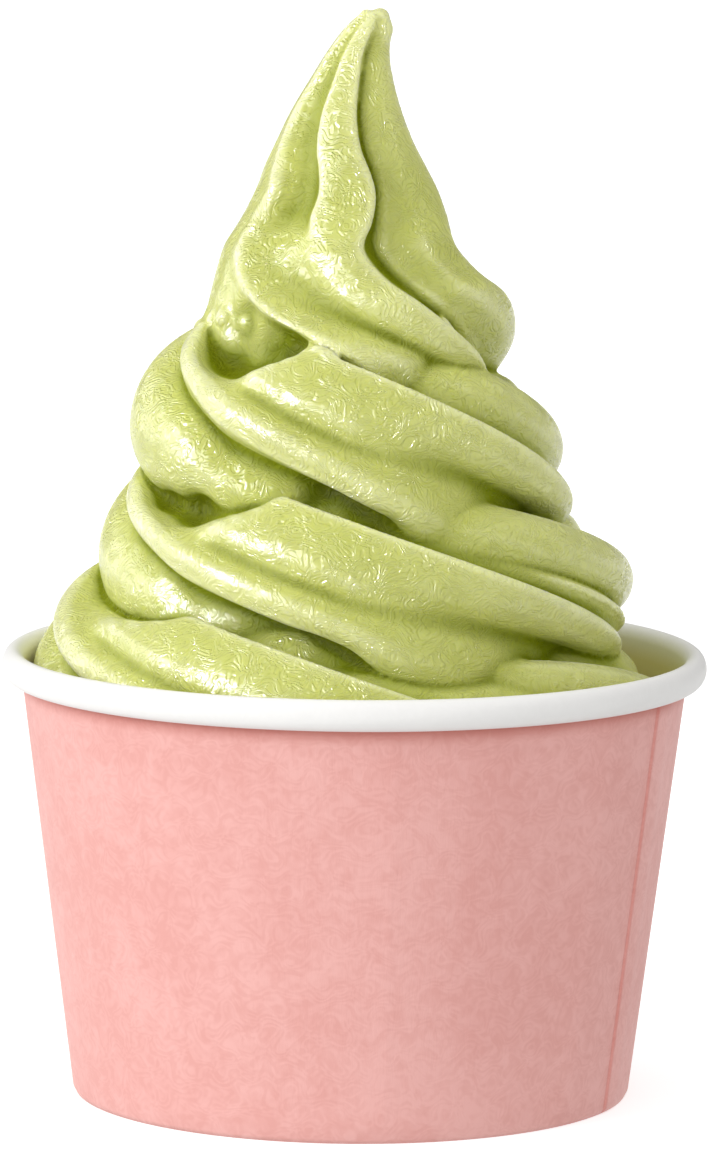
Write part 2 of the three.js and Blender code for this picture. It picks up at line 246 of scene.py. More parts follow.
# Places where the skin is pressed in, or raised where the depth is below 0: the middle of each, how
# far it spreads and its depth.
PRESSED = [
    # the pit left of the top coil's corner, under the peak
    ((-12, -15, 103.6), 3.2, 1.7),
    ((-16.5, -12.4, 102.6), 3.6, 1.5),
    ((-9, -17.6, 103.4), 2.4, 1.1),
    ((-16.2, -11.8, 107), 3, 1.5),
    # where the peak's foot rests on the top coil's lip
    ((-5.2, -20.6, 103.6), 1.3, -0.7),
    ((-3.8, -21.2, 103), 1.3, -0.7),
    # the torn lip above the pit
    ((-16.4, -11.4, 107), 1, -0.7),
    ((-18.6, -8.6, 107.4), 1.2, -0.9),
    ((-20.4, -6, 106.8), 1.2, -1),
    ((-22, -2.6, 106), 1.6, -1.2),
    # the pit left of the middle coil's corner
    ((-21, -17, 82), 3, 1.9),
    ((-24.6, -12.6, 82.4), 2.6, 1),
    # the gap under the top coil's fold
    ((-4, -24, 84), 3, 0.9),
    ((0, -25.8, 83), 3, 1),
    ((4, -27, 82.2), 3, 1),
    # the gap under the middle coil's fold
    ((-5, -33.6, 66.4), 3, 0.6),
    ((-1, -34.6, 65.2), 3, 0.6),
    # the torn tip
    ((2.7, 0, 147.4), 1.1, -0.7),
    ((0.7, -0.6, 147.9), 0.7, -0.5),
]
RINGS = 1400
PEAK_RINGS = 420
RING_POINTS = 240
OUTLINE_SMOOTHING = 1
FILL_LEVEL = 50  # the cup is full up to the wall to this height
CORE_FROM = 4  # the solid core follows the rope's middle from this quarter turn
CORE_TO = 12  # to this one
CORE_TOP = 112
CORE_STEPS = 96
THINNING = 2  # every so many rings and points are kept to find a place on the rope by
VOXEL = 0.4
SMOOTHING_PASSES = 2
ROPE_PASSES = 4
HOLLOW_PASSES = 60  # how far round a point its groove or lip is judged
EDGE_PASSES = 8  # and how far round it a crease or sharp edge

# ---- Colours, and relief in millimetres -------------------------------------------------------------
PINK = (0.92, 0.49, 0.45, 1)
PINK_DARKER = (0.84, 0.405, 0.365, 1)
# Painted shade, just under the rim and in a line along the seam's step.
PINK_PAINTED_SHADE = (0.66, 0.22, 0.18, 1)
PINK_TOOTH = 0.05
WHITE = (0.95, 0.94, 0.92, 1)
WHITE_DARKER = (0.93, 0.92, 0.90, 1)
# Painted bounce light from the yogurt, on the lining beside it.
WHITE_PAINTED_BOUNCE = (0.74, 0.66, 0.3, 1)
WHITE_TOOTH = 0.02
BOARD_CLOUD_SCALE = 75  # noise scales are in grains a metre, more or less
BOARD_MOTTLE_SCALE = 420
FIBRE_SCALE = 1500
FIBRE_STRETCH = (1, 1, 0.16)
CURL = (0.35, 1.4, 3)  # width, length and sway of the curls in the board
SHADE_FROM = 2.2  # the shade under the rim starts this far below it
SHADE_TO = 0.4  # and is full this far above its lower edge
SEAM_SHADOW = (0.1, 0.4)  # the painted shadow along the seam fades out between these distances from it
SEAM_SHADOW_STRENGTH = 0.45
BOUNCE_EDGE = (-0.4, 0.8)  # the painted bounce light fades out between these distances from the lining's surface

FACE = (0.65, 0.68, 0.215, 1)
FACE_DARKER = (0.585, 0.617, 0.175, 1)
# Painted shade and painted highlights over the yogurt's faces. Each covers what is before it as a point
# goes from the first depth to the second, in the hollows of its wider or its closer surroundings. Below 0
# it stands out of them.
PAINTED_SHADE_AND_HIGHLIGHTS = [
    ("hollow", -0.15, -0.8, (0.75, 0.765, 0.35, 1)),  # painted highlight on the lips
    ("hollow", 0.05, 0.7, (0.24, 0.285, 0.008, 1)),  # painted shade in the grooves
    ("hollow", 0.9, 2, (0.08, 0.09, 0.002, 1)),  # painted shade in deep gaps
    ("crease", 0.08, 0.3, (0.19, 0.22, 0.005, 1)),  # painted shade in creases
    ("crease", -0.05, -0.15, (0.80, 0.82, 0.42, 1)),  # painted highlight on sharp edges
]
GLOSS = 0.62  # weight of the yogurt's moist coat, which ends
GLOSS_HOLLOW = (0, 0.25)  # between these depths in the wider
GLOSS_CREASE = (0.02, 0.1)  # and in the closer surroundings
FACE_CLOUD_SCALE = 90
WRINKLE = (0.25, 0.8, 3)  # width, length and sway
WRINKLE_DEPTH = 0.13
PATCH_SCALE = 95
PATCH_LEVELS = (0.6, 1.1)  # the wrinkles' depth between patches and within them
SPECK_SCALE = 1300
SPECK_DEPTH = 0.08
GRAIN_SCALE = 3000
GRAIN_STRETCH = (0.4, 0.4, 1)
GRAIN_DEPTH = 0.03
SOFT_SCALE = 330
SOFT_DEPTH = 0.4
SWAY_REACH = 2.2  # how far winding strokes stray, for each millimetre of their sway

# ---- Light, in metres and watts, and the camera -----------------------------------------------------
FLOOR_HALF = 6
LIGHT_TARGET = (0, 0, 0.09)
KEY = ("key", (-0.85, -0.6, 0.62), 0.5, 0.6, 4)
# Soft boxes that give the swirl its gloss alone: name, place, width, height and power.
GLOSS_BOXES = [
    ("swirl_key", (-1.0, -0.62, 0.42), 0.45, 0.75, 46),
    ("swirl_edge", (-1.2, 0.45, 0.3), 1.3, 1.3, 26),
    ("swirl_wash", (-1.2, -0.8, 0.25), 2.0, 1.8, 140),
    ("swirl_glow", (0.8, -1.0, 0.4), 1.2, 1.2, 5),
    ("swirl_fill", (0.8, -0.5, 0.9), 0.14, 0.14, 0.6),
]
# The studio is brightest above and to the left, darkest below.
STUDIO_AIM = (-0.75, -0.35, 0.5)
STUDIO_SPAN = (-0.7, 0.9)  # as the aim rises between these,
STUDIO_LEVELS = (0.62, 1.05)  # the light goes from the first level to the second
CAMERA_PLACE = (-0.001, -1.0405, 0.2136)
CAMERA_TURN = (math.pi / 2 - 0.1363, -0.009, 0.0003)  # looks down a little, and rolls a little
CAMERA_FRAME = 36  # millimetres high
CAMERA_LENS = 240.3

# ---- Small helpers ---------------------------------------------------------------------------------

def between(values, at):
    """Catmull-Rom curve through the values at whole places, read at the places `at`."""
    values = np.asarray(values, float)
    last = len(values) - 1
    i = np.clip(np.floor(at).astype(int), 0, last - 1)
    t = np.clip(at - i, 0, 1)
    a = values[np.maximum(i - 1, 0)]
    b = values[i]
    c = values[i + 1]
    d = values[np.minimum(i + 2, last)]
    return b + 0.5 * t * (c - a + t * (2 * a - 5 * b + 4 * c - d + t * (3 * b - a - 3 * c + d)))


def ease(value, start, end):
    """0 before start, 1 after end, smooth between."""
    t = np.clip((value - start) / (end - start), 0, 1)
    return t * t * (3 - 2 * t)


def wall_radius(z):
    """Outside radius of the cup's wall at a height."""
    return FOOT_RADIUS + (MOUTH_RADIUS - FOOT_RADIUS) * z / CUP_HEIGHT


def as_piece(name, mesh, material, replaced):
    """A smooth piece that rides on the part and stands for one of its nodes."""
    mesh.name = name
    mesh.shade_smooth()
    mesh.materials.clear()
    mesh.materials.append(material)
    piece = bpy.data.objects.new(name, mesh)
    bpy.context.scene.collection.objects.link(piece)
    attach(piece, "root")
    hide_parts(replaced)
    return piece


def board_piece(name, points, faces, material, replaced):
    """A piece of the cup from points in millimetres."""
    mesh = bpy.data.meshes.new(name)
    mesh.from_pydata((points * MM).tolist(), [], faces)
    mesh.validate()
    as_piece(name, mesh, material, replaced)


def row_faces(row, after, columns):
    """Quads between two rows of points that close on themselves, given the first point of each."""
    faces = []
    for i in range(columns):
        j = (i + 1) % columns
        faces.append((row + i, row + j, after + j, after + i))
    return faces


def turned(profile, angles):
    """A closed profile of (radius, height) turned about Z: its points and its quads."""
    profile = np.asarray(profile, float)
    turn = np.asarray(angles) * DEG
    x = profile[:, 0, None] * np.cos(turn)
    y = profile[:, 0, None] * np.sin(turn)
    z = np.broadcast_to(profile[:, 1, None], x.shape)
    points = np.stack([x, y, z], -1).reshape(-1, 3)
    n = len(turn)
    faces = []
    for r in range(len(profile)):
        faces += row_faces(r * n, (r + 1) % len(profile) * n, n)
    return points, faces


# ---- Materials -------------------------------------------------------------------------------------

class Shader:
    """A node material built line by line around one Principled shader."""

    def __init__(self, name, **settings):
        self.material = bpy.data.materials.new(name)
        self.material.use_nodes = True
        self.nodes = self.material.node_tree.nodes
        self.links = self.material.node_tree.links
        self.surface = self.nodes["Principled BSDF"]
        for socket, value in settings.items():
            self.surface.inputs[socket.replace("_", " ")].default_value = value

    def add(self, kind, inputs, **settings):
        """A node of that kind. An input is a plain value or another node's output."""
        made = self.nodes.new(kind)
        for key, value in settings.items():
            setattr(made, key, value)
        for socket, value in inputs.items():
            if isinstance(value, bpy.types.NodeSocket):
                self.links.new(value, made.inputs[socket])
            else:
                made.inputs[socket].default_value = value
        return made

    def place(self):
        """Where a point is on the object, in metres."""
        return self.add("ShaderNodeTexCoord", {}).outputs["Object"]

    def measure(self, name, output="Fac"):
        """What the mesh holds for each of its points under that name."""
        return self.add("ShaderNodeAttribute", {}, attribute_name=name).outputs[output]

    def split(self, vector):
        """A vector's X, Y and Z."""
        return self.add("ShaderNodeSeparateXYZ", {"Vector": vector}).outputs

    def along(self, vector, direction):
        """How far a point lies from the origin in a direction."""
        inputs = {0: vector, 1: direction}
        return self.add("ShaderNodeVectorMath", inputs, operation="DOT_PRODUCT").outputs["Value"]

    def stretched(self, vector, scale):
        return self.add("ShaderNodeMapping", {"Vector": vector, "Scale": scale}).outputs["Vector"]

    def speckle(self, vector, scale, detail=2.0, roughness=0.5):
        inputs = {"Vector": vector, "Scale": scale, "Detail": detail, "Roughness": roughness}
        return self.add("ShaderNodeTexNoise", inputs).outputs["Fac"]

    def strokes(self, vector, width, length, sway):
        """Winding strokes, 0 to 1, of that size in millimetres, whose way sways from place to place."""
        width, length, sway = width * MM, length * MM, sway * MM
        noise = self.add("ShaderNodeTexNoise", {"Vector": vector, "Scale": 1 / sway, "Detail": 0.0})
        shift_inputs = {0: noise.outputs["Color"], "Scale": SWAY_REACH * sway}
        shift = self.add("ShaderNodeVectorMath", shift_inputs, operation="SCALE").outputs["Vector"]
        moved = self.add("ShaderNodeVectorMath", {0: vector, 1: shift}, operation="ADD").outputs["Vector"]
        return self.speckle(self.stretched(moved, (width / length, 1, 1)), 0.5 / width, detail=0)

    def ramp(self, value, start, end, low=0.0, high=1.0):
        """A grey level mapped in a straight line from start..end to low..high."""
        inputs = {"Value": value, "From Min": start, "From Max": end, "To Min": low, "To Max": high}
        return self.add("ShaderNodeMapRange", inputs).outputs["Result"]

    def blend(self, factor, first, second):
        """The first colour where the factor is 0 and the second where it is 1."""
        made = self.add("ShaderNodeMix", {"Factor": factor}, data_type="RGBA")
        for name, value in (("A", first), ("B", second)):
            socket = [s for s in made.inputs if s.name == name and s.type == "RGBA"][0]
            if isinstance(value, bpy.types.NodeSocket):
                self.links.new(value, socket)
            else:
                socket.default_value = value
        return [s for s in made.outputs if s.type == "RGBA"][0]

    def maths(self, operation, first, second=0.5):
        return self.add("ShaderNodeMath", {0: first, 1: second}, operation=operation).outputs["Value"]

    def bump(self, height, depth, strength=1.0, under=None):
        """A normal for relief of that depth in millimetres, over the relief under it."""
        inputs = {"Height": height, "Distance": depth * MM, "Strength": strength}
        if under is not None:
            inputs["Normal"] = under
        return self.add("ShaderNodeBump", inputs).outputs["Normal"]

    def plug(self, value, socket):
        self.links.new(value, self.surface.inputs[socket])


def paint_shade_on_pink(shader, place, paper):
    """Paints shade on the board just under the rim, and a painted shadow in a line along the seam's step.
    """
    height = shader.split(place)["Z"]
    near_rim = shader.ramp(height, (RIM_BOTTOM - SHADE_FROM) * MM, (RIM_BOTTOM + SHADE_TO) * MM)
    paper = shader.blend(near_rim, paper, PINK_PAINTED_SHADE)
    sine = math.sin(SEAM_ANGLE * DEG)
    cosine = math.cos(SEAM_ANGLE * DEG)
    beside = shader.maths("ABSOLUTE", shader.along(place, (-sine, cosine, 0)))
    on_side = shader.ramp(shader.along(place, (cosine, sine, 0)), 0, MM)
    # A painted shadow along the step at the seam.
    start, end = SEAM_SHADOW
    fading = shader.ramp(beside, start * MM, end * MM, SEAM_SHADOW_STRENGTH, 0)
    return shader.blend(shader.maths("MULTIPLY", fading, on_side), paper, PINK_PAINTED_SHADE)


def paint_bounce_on_white(shader, place, paper):
    """Paints the yogurt's greenish bounce light on the lining inside the cup, where the yogurt lies beside
    it.
    """
    x, y, z = shader.split(place)
    square = shader.maths("ADD", shader.maths("POWER", x, 2), shader.maths("POWER", y, 2))
    radius = shader.maths("SQRT", square)
    start, end = ((MOUTH_RADIUS - BOARD + edge) * MM for edge in BOUNCE_EDGE)
    inside = shader.ramp(radius, start, end, 1, 0)
    low = shader.ramp(z, RIM_BOTTOM * MM, CUP_HEIGHT * MM, 1, 0)
    return shader.blend(shader.maths("MULTIPLY", inside, low), paper, WHITE_PAINTED_BOUNCE)


def board_material(name, colour, darker, roughness, tooth, paint_light):
    """Coated paper board: soft mottling, fine curls, an upright tooth, and painted light of its own:
    painted shade on the pink board, the yogurt's painted bounce light on the white one.
    """
    shader = Shader(name, Roughness=roughness, Specular_IOR_Level=0.35)
    place = shader.place()
    mottle = shader.speckle(place, BOARD_MOTTLE_SCALE, detail=3, roughness=0.6)
    cloud = shader.speckle(place, BOARD_CLOUD_SCALE)
    mixed = shader.maths("MULTIPLY", shader.maths("ADD", mottle, cloud), 0.5)
    curls = shader.ramp(shader.strokes(place, *CURL), 0.35, 0.65, -0.25, 0.25)
    factor = shader.maths("ADD", shader.ramp(mixed, 0.36, 0.64), curls)
    paper = paint_light(shader, place, shader.blend(factor, darker, colour))
    shader.plug(paper, "Base Color")
    upright = shader.stretched(place, FIBRE_STRETCH)
    fibres = shader.speckle(upright, FIBRE_SCALE, detail=3, roughness=0.6)
    shader.plug(shader.bump(fibres, tooth), "Normal")
    return shader.material


def yogurt_material():
    """Moist, light-scattering frozen yogurt, finely wrinkled: painted shade in its hollows, painted
    highlights on its lips.
    """
    shader = Shader(
        "yogurt",
        Roughness=0.5,
        Coat_Weight=GLOSS,
        Coat_Roughness=0.08,
        Coat_IOR=1.5,
        Specular_IOR_Level=0.05,
        Subsurface_Weight=1.0,
        Subsurface_Radius=(1.0, 1.0, 0.35),
        Subsurface_Scale=0.0007,
        IOR=1.4,
    )
    measures = {"hollow": shader.measure("hollow"), "crease": shader.measure("crease")}
    place = shader.place()
    cloud = shader.speckle(place, FACE_CLOUD_SCALE, detail=3)
    colour = shader.blend(shader.ramp(cloud, 0.35, 0.65), FACE_DARKER, FACE)
    # Painted shade in hollows and creases, painted highlights on lips and sharp edges.
    for name, start, end, tint in PAINTED_SHADE_AND_HIGHLIGHTS:
        colour = shader.blend(shader.ramp(measures[name], start, end), colour, tint)
    shader.plug(colour, "Base Color")
    shallow = shader.ramp(measures["hollow"], *GLOSS_HOLLOW, GLOSS, 0)
    smooth = shader.ramp(measures["crease"], *GLOSS_CREASE, 1, 0)
    shader.plug(shader.maths("MULTIPLY", shallow, smooth), "Coat Weight")

    # Winding wrinkles, strong in patches, over specks, a feathery grain and a soft unevenness.
    relief = shader.bump(shader.speckle(place, SOFT_SCALE), SOFT_DEPTH)
    on_rope = shader.stretched(shader.measure("rope", "Vector"), GRAIN_STRETCH)
    grain = shader.speckle(on_rope, GRAIN_SCALE, detail=3, roughness=0.6)
    relief = shader.bump(grain, GRAIN_DEPTH, 0.8, relief)
    specks = shader.ramp(shader.speckle(place, SPECK_SCALE, detail=0), 0.7, 0.76)
    relief = shader.bump(specks, SPECK_DEPTH, 1.0, relief)
    wrinkles = shader.ramp(shader.strokes(place, *WRINKLE), 0.4, 0.6)
    patches = shader.ramp(shader.speckle(place, PATCH_SCALE, detail=1), 0.42, 0.56, *PATCH_LEVELS)
    relief = shader.bump(shader.maths("MULTIPLY", wrinkles, patches), WRINKLE_DEPTH, 1.0, relief)
    shader.plug(relief, "Normal")
    shader.plug(relief, "Coat Normal")
    return shader.material


def floor_material():
    """A matt pale floor that glows a little, so that it runs into the backdrop."""
    shader = Shader(
        "pale_floor",
        Roughness=1.0,
        Specular_IOR_Level=0.2,
        Emission_Color=(1, 1, 1, 1),
        Emission_Strength=0.5,
    )
    cloud = shader.ramp(shader.speckle(shader.place(), 6), 0.3, 0.7)
    shader.plug(shader.blend(cloud, (0.82, 0.82, 0.82, 1), (0.84, 0.84, 0.84, 1)), "Base Color")
    return shader.material


# ---- The swirl -------------------------------------------------------------------------------------

def rope_stations():
    """Height, offset, radius and turn at each station of the rope."""
    reach, z, turn = np.array(COIL, float).T
    radius = np.linspace(ROPE_RADIUS_START, ROPE_RADIUS_END, len(COIL))
    return {"z": z, "offset": reach - radius, "radius": radius, "turn": turn}


STATIONS = rope_stations()
LAST = len(COIL) - 1


def rope_centre(at):
    z = between(STATIONS["z"], at)
    offset = between(STATIONS["offset"], at)
    angle = (FIRST_ANGLE - 90 * at) * DEG
    lean = LEAN * ease(z, CUP_HEIGHT, LEAN_TO_Z)
    return np.stack([lean + offset * np.cos(angle), offset * np.sin(angle), z], -1)


def ring_angles():
    return np.linspace(0, 360, RING_POINTS, endpoint=False)


def outline_height(angles, heights):
    """Height of an outline at even angles round it, with its corners a little rounded."""
    height = np.interp(ring_angles(), angles, heights, period=360)
    for _ in range(OUTLINE_SMOOTHING):
        height = (np.roll(height, 1) + 2 * height + np.roll(height, -1)) / 4
    return height


def coil_heights(at):
    """The coil's outline at each station."""
    rightness = np.cos((FIRST_ANGLE - 90 * at) * DEG)
    table = np.array(COIL_OUTLINE, float)
    left, front, right = table[:, 0:2], table[:, 2:4], table[:, 4:6]
    below_lip = np.clip(COIL_LIP - front[:, 0], 0, COIL_LIP - SLANT_TO)
    starts = LEFT_FROM + LEFT_SLANT * below_lip
    rings = []
    for along_rope, place in zip(at, rightness):
        later = LOW_LEFT_LATER * (1 - ease(along_rope, LOW_LEFT_FROM, LOW_LEFT_TO))
        to_left = ease(-place, starts + later, starts + later + LEFT_SPAN)[:, None]
        to_right = max(place, 0)
        outline = front + to_left * (left - front) + to_right * (right - front)
        rings.append(outline_height(*outline.T))
    rings = np.array(rings)
    second = outline_height(*zip(*SECOND_RIDGE))
    share = np.exp(-(((at - SECOND_RIDGE_AT) / SECOND_RIDGE_LENGTH) ** 2))
    for middle, length, angle, width, by in THINNED:
        along = np.exp(-(((at - middle) / length) ** 2))
        away = (ring_angles() - angle + 180) % 360 - 180
        around = np.exp(-((away / width) ** 2))
        rings = rings - by * along[:, None] * around
    return np.maximum(rings, second * share[:, None])


def peak_heights(z):
    """The peak's outline at each height, on its way from foot to bowl to top."""
    table = np.array(PEAK_OUTLINE, float)
    top, bowl, foot = table[:, 0:2], table[:, 2:4], table[:, 4:6]
    rings = []
    for to_bowl, to_top in zip(ease(z, FOOT_TO_Z, BOWL_FROM_Z), ease(z, BOWL_TO_Z, TOP_FROM_Z)):
        low = foot + to_bowl * (bowl - foot)
        rings.append(outline_height(*(low + to_top * (top - low)).T))
    return np.array(rings)


def star(radius, world_turn, height, lip_angle):
    """Star outlines in the level plane, one ring for each radius and turn."""
    a = ring_angles()
    lip = HOOK * np.exp(-(((a - lip_angle) / HOOK_WIDTH) ** 2))
    arm = radius[:, None] * (1 - GROOVE_DEPTH * (1 - height))
    world = (a[None, :] + world_turn[:, None] + lip[None, :]) * DEG
    level = np.stack([arm * np.cos(world), arm * np.sin(world), np.zeros_like(arm)], -1)
    return level, arm


def laid_over(level, direction):
    """Upright rings swung to face the rope's direction, without turning."""
    sine = np.hypot(direction[:, 0], direction[:, 1]) + 1e-9
    cosine = direction[:, 2][:, None, None]
    hinge = np.stack([-direction[:, 1] / sine, direction[:, 0] / sine, 0 * sine], -1)[:, None, :]
    on_hinge = (level * hinge).sum(-1, keepdims=True)
    swung = np.cross(np.broadcast_to(hinge, level.shape), level) * sine[:, None, None]
    return level * cosine + swung + hinge * on_hinge * (1 - cosine)


def straightened(arm, run):
    """Each point's place on the rope as if the rope were straight."""
    beta = np.broadcast_to(ring_angles() * DEG, arm.shape)
    run = np.broadcast_to(run[:, None], arm.shape)
    return np.stack([arm * np.cos(beta), arm * np.sin(beta), run], -1)


def coil_surface():
    """Rings of points on the coiled rope, and their places on the straight rope."""
    at = np.linspace(0, LAST, RINGS)
    centre = rope_centre(at)
    direction = np.gradient(centre, axis=0)
    direction /= np.linalg.norm(direction, axis=1)[:, None]
    height = coil_heights(at)
    turn = between(STATIONS["turn"], at)
    level, arm = star(between(STATIONS["radius"], at), turn, height, COIL_LIP)
    points = laid_over(level, direction)
    points[..., 2] *= ROPE_SAG
    points += centre[:, None, :]
    run = np.append(0, np.cumsum(np.linalg.norm(np.diff(centre, axis=0), axis=1)))
    return points, straightened(arm, run)


def peak_surface():
    """Rings of points on the upright peak, and their places on the straight rope."""
    at = np.linspace(0, len(PEAK) - 1, PEAK_RINGS)
    z, radius, sideways, ridge = (between(column, at) for column in zip(*PEAK))
    points, arm = star(radius, ridge - PEAK_LIP - HOOK, peak_heights(z), PEAK_LIP)
    points += np.stack([sideways, 0 * z, z], -1)[:, None, :]
    return points, straightened(arm, z)


def inside_cup(points):
    """Yogurt below the mouth stays within the wall."""
    room = wall_radius(np.minimum(points[:, 2], RIM_MIDDLE)) - BOARD - GAP
    room = room + np.maximum(points[:, 2] - CUP_HEIGHT, 0)
    radius = np.hypot(points[:, 0], points[:, 1]) + 1e-9
    shrink = np.minimum(1, room / radius)
    points[:, 0] *= shrink
    points[:, 1] *= shrink
    return points


def tube_faces(rings, columns, shift):
    """Quads of a closed tube of rings, with a face at each end."""
    faces = []
    for r in range(rings - 1):
        faces += row_faces(shift + r * columns, shift + (r + 1) * columns, columns)
    faces.append(tuple(shift + i for i in range(columns - 1, -1, -1)))
    last = shift + (rings - 1) * columns
    faces.append(tuple(last + i for i in range(columns)))
    return faces


def swirl_body():
    """The rope, its peak and the solid core, which fills the cup too, as overlapping shells.

    Returns their points and faces, then points of the rope and the peak and their places on the
    straight rope."""
    coil, straight_coil = coil_surface()
    peak, straight_peak = peak_surface()
    floor = BASE_Z + BOARD + GAP
    profile = [
        (CENTRE, floor),
        (wall_radius(floor) - BOARD - GAP, floor),
        (wall_radius(FILL_LEVEL) - BOARD - GAP, FILL_LEVEL),
        (STATIONS["offset"][CORE_FROM], STATIONS["z"][CORE_FROM]),
        (STATIONS["offset"][CORE_TO], STATIONS["z"][CORE_TO]),
        (CENTRE, CORE_TOP),
    ]
    core, core_faces = turned(profile, np.linspace(0, 360, CORE_STEPS, endpoint=False))
    faces = tube_faces(RINGS, RING_POINTS, 0)
    faces += tube_faces(PEAK_RINGS, RING_POINTS, coil.size // 3)
    shift = (coil.size + peak.size) // 3
    faces += [tuple(shift + v for v in face) for face in core_faces]
    points = inside_cup(np.vstack([coil.reshape(-1, 3), peak.reshape(-1, 3), core]))
    return points, faces, thinned_out(coil, peak), thinned_out(straight_coil, straight_peak)


def thinned_out(*surfaces):
    """Some of the points of surfaces made of rings."""
    return np.vstack([rings[::THINNING, ::THINNING].reshape(-1, 3) for rings in surfaces])


def remeshed(points, faces):
    """One closed mesh round all the shells, in millimetres."""
    mesh = bpy.data.meshes.new("raw")
    mesh.from_pydata(points.tolist(), [], faces)
    raw = bpy.data.objects.new("raw", mesh)
    bpy.context.scene.collection.objects.link(raw)
    modifier = raw.modifiers.new("skin", "REMESH")
    modifier.mode = "VOXEL"
    modifier.voxel_size = VOXEL
    graph = bpy.context.evaluated_depsgraph_get()
    done = bpy.data.meshes.new_from_object(raw.evaluated_get(graph))
    bpy.data.objects.remove(raw)
    bpy.data.meshes.remove(mesh)
    return done


def mesh_points(mesh):
    co = np.empty(len(mesh.vertices) * 3)
    mesh.vertices.foreach_get("co", co)
    return co.reshape(-1, 3)


def mesh_edges(mesh):
    edges = np.empty(len(mesh.edges) * 2, int)
    mesh.edges.foreach_get("vertices", edges)
    return edges.reshape(-1, 2).T


def averaged(values, edges, passes, factor=0.5):
    """Values moved towards the mean of their neighbours, a number of times."""
    a, b = edges
    n = len(values)
    count = np.bincount(a, minlength=n) + np.bincount(b, minlength=n)
    for _ in range(passes):
        total = np.stack(
            [np.bincount(a, values[b, k], n) + np.bincount(b, values[a, k], n) for k in range(3)], -1
        )
        values = values + factor * (total / count[:, None] - values)
    return values


def pressed(co, normals):
    """Points after each of the places has been pressed in or raised."""
    depth = np.zeros(len(co))
    for middle, spread, by in PRESSED:
        depth += by * np.exp(-((co - middle) ** 2).sum(1) / spread**2)
    return co - normals * depth[:, None]


def mesh_normals(mesh):
    normals = np.empty(len(mesh.vertices) * 3)
    mesh.vertex_normals.foreach_get("vector", normals)
    return normals.reshape(-1, 3)


def depths(co, normals, edges, passes):
    """How deep each point lies in the hollows round it, below 0 where it stands out of them."""
    return ((averaged(co, edges, passes, 1.0) - co) * normals).sum(1)


def places_on_rope(co, skin, straight):
    """For each point, where the nearest point of the rope's skin is on the straight rope."""
    tree = kdtree.KDTree(len(skin))
    for i, point in enumerate(skin):
        tree.insert(point, i)
    tree.balance()
    return straight[[tree.find(point)[1] for point in co]]


def remember(mesh, name, values):
    """Keeps a number or a vector for each point of a mesh, for its material."""
    kind, field = ("FLOAT", "value") if values.ndim == 1 else ("FLOAT_VECTOR", "vector")
    attribute = mesh.attributes.new(name, kind, "POINT")
    attribute.data.foreach_set(field, values.ravel().astype(np.float32))


def build_yogurt():
    points, faces, skin, straight = swirl_body()
    mesh = remeshed(points, faces)
    edges = mesh_edges(mesh)
    co = averaged(mesh_points(mesh), edges, SMOOTHING_PASSES)
    co = pressed(co, mesh_normals(mesh))
    mesh.vertices.foreach_set("co", (co * MM).ravel())
    mesh.update()
    normals = mesh_normals(mesh)
    remember(mesh, "hollow", depths(co, normals, edges, HOLLOW_PASSES))
    remember(mesh, "crease", depths(co, normals, edges, EDGE_PASSES))
    remember(mesh, "rope", averaged(places_on_rope(co, skin, straight), edges, ROPE_PASSES) * MM)
    return as_piece("yogurt_swirl", mesh, yogurt_material(), "frozen_yogurt")


# ---- The cup ---------------------------------------------------------------------------------------

def turn_angles():
    return np.linspace(0, 360, TURN_STEPS, endpoint=False)


def seam_angles():
    """Even angles, and closer ones at the seam's edge."""
    edge = SEAM_ANGLE + np.array([-1, -0.5, 0, 0.5, 1]) * SEAM_EDGE
    return np.unique(np.append(turn_angles(), edge % 360))


def overlapped(points):
    """The wall's points, further out where its board lies over itself at the seam."""
    angle = np.arctan2(points[:, 1], points[:, 0]) / DEG
    start = ease(angle, SEAM_ANGLE - SEAM_EDGE, SEAM_ANGLE + SEAM_EDGE)
    end = ease(angle, SEAM_ANGLE + SEAM_WIDTH / 2, SEAM_ANGLE + SEAM_WIDTH)
    radius = np.hypot(points[:, 0], points[:, 1])
    outer = ease(radius, wall_radius(points[:, 2]) - BOARD / 2, wall_radius(points[:, 2]))
    points[:, :2] *= (1 + SEAM_STEP * (start - end) * outer / radius)[:, None]
    return points


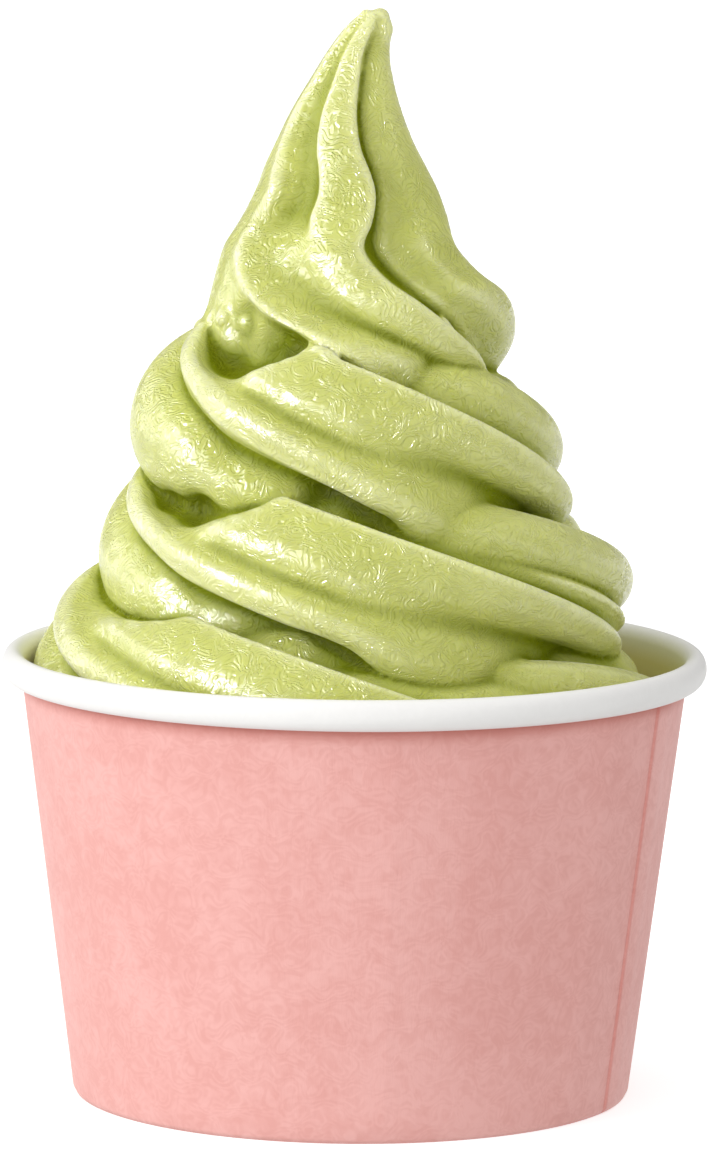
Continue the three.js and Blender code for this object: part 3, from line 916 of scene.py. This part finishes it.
def build_cup():
    tinted = board_material("tinted_board", PINK, PINK_DARKER, 0.55, PINK_TOOTH, paint_shade_on_pink)
    white = board_material("white_board", WHITE, WHITE_DARKER, 0.5, WHITE_TOOTH, paint_bounce_on_white)
    middle = BOARD / 2
    upright = np.linspace(FOOT_ROUND, RIM_BOTTOM + 1, WALL_STEPS)
    profile = [(wall_radius(0) - middle, 0), (wall_radius(0) - FOOT_INSET, 0)]
    profile += [(wall_radius(z), z) for z in upright]
    profile += [(wall_radius(z) - middle, z) for z in upright[::-1]]
    points, faces = turned(profile, seam_angles())
    board_piece("cup_outside", overlapped(points), faces, tinted, "cup_wall")

    profile = [(wall_radius(0) - HEM_THICKNESS, 0), (wall_radius(0) - middle, 0)]
    profile += [(wall_radius(z) - middle, z) for z in upright]
    for angle in np.linspace(RIM_FROM, RIM_TO, RIM_STEPS):
        out = RIM_RADIUS - RIM_WIDTH / 2 * (1 - math.cos(angle * DEG))
        profile.append((out, RIM_MIDDLE + RIM_HEIGHT / 2 * math.sin(angle * DEG)))
    profile += [(wall_radius(z) - BOARD, z) for z in np.linspace(RIM_BOTTOM, HEM_HEIGHT, LINING_STEPS)]
    profile += [(wall_radius(HEM_HEIGHT) - HEM_THICKNESS, HEM_HEIGHT)]
    points, faces = turned(profile, turn_angles())
    board_piece("cup_lining_and_rim", points, faces, white, "cup_wall")

    skirt = wall_radius(0) - HEM_THICKNESS - GAP
    disc = wall_radius(BASE_Z) - BOARD - GAP
    profile = [
        (CENTRE, BASE_Z),
        (skirt - BOARD, BASE_Z),
        (skirt - BOARD, BASE_Z - SKIRT_DROP),
        (skirt, BASE_Z - SKIRT_DROP),
        (skirt, BASE_Z),
        (disc, BASE_Z),
        (disc, BASE_Z + BOARD),
        (CENTRE, BASE_Z + BOARD),
    ]
    points, faces = turned(profile, turn_angles())
    board_piece("cup_base_disc", points, faces, white, "cup_base")


# ---- Floor, light and camera -----------------------------------------------------------------------

def build_stage():
    """The floor, which gives no light back to the part."""
    half = FLOOR_HALF
    corners = [(-half, -half, 0), (half, -half, 0), (half, half, 0), (-half, half, 0)]
    mesh = bpy.data.meshes.new("floor")
    mesh.from_pydata(corners, [], [(0, 1, 2, 3)])
    mesh.materials.append(floor_material())
    floor = bpy.data.objects.new("floor", mesh)
    bpy.context.scene.collection.objects.link(floor)
    floor.visible_diffuse = False


def area_light(name, place, width, height, power):
    """A soft box aimed at the middle of the part."""
    light = bpy.data.lights.new(name, "AREA")
    light.shape = "RECTANGLE"
    light.size = width
    light.size_y = height
    light.energy = power
    lamp = bpy.data.objects.new(name, light)
    bpy.context.scene.collection.objects.link(lamp)
    lamp.location = place
    lamp.rotation_euler = (Vector(LIGHT_TARGET) - Vector(place)).to_track_quat("-Z", "Y").to_euler()
    return lamp


def gloss_light(lamp, piece):
    """Makes a lamp show as gloss alone, and on that piece alone."""
    lamp.visible_diffuse = False
    receivers = bpy.data.collections.new(lamp.name + "_lights")
    receivers.objects.link(piece)
    lamp.light_linking.receiver_collection = receivers


def build_world():
    """Soft white light from all round, which doesn't show in the gloss."""
    world = bpy.data.worlds.new("studio")
    bpy.context.scene.world = world
    world.use_nodes = True
    world.cycles_visibility.glossy = False
    nodes = world.node_tree.nodes
    links = world.node_tree.links
    aim = nodes.new("ShaderNodeVectorMath")
    aim.operation = "DOT_PRODUCT"
    links.new(nodes.new("ShaderNodeTexCoord").outputs["Generated"], aim.inputs[0])
    aim.inputs[1].default_value = STUDIO_AIM
    level = nodes.new("ShaderNodeMapRange")
    links.new(aim.outputs["Value"], level.inputs["Value"])
    limits = zip(("From Min", "From Max", "To Min", "To Max"), STUDIO_SPAN + STUDIO_LEVELS)
    for socket, value in limits:
        level.inputs[socket].default_value = value
    links.new(level.outputs["Result"], nodes["Background"].inputs["Strength"])
    nodes["Background"].inputs["Color"].default_value = (1, 1, 1, 1)


def build_light(swirl):
    build_world()
    area_light(*KEY)
    for box in GLOSS_BOXES:
        gloss_light(area_light(*box), swirl)
    bpy.context.scene.view_settings.view_transform = "Standard"


def build_camera():
    camera = bpy.data.cameras.new("camera")
    camera.sensor_fit = "VERTICAL"
    camera.sensor_height = CAMERA_FRAME
    camera.lens = CAMERA_LENS
    holder = bpy.data.objects.new("camera", camera)
    bpy.context.scene.collection.objects.link(holder)
    holder.location = CAMERA_PLACE
    holder.rotation_euler = CAMERA_TURN
    bpy.context.scene.camera = holder


swirl = build_yogurt()
build_cup()
build_stage()
build_light(swirl)
build_camera()
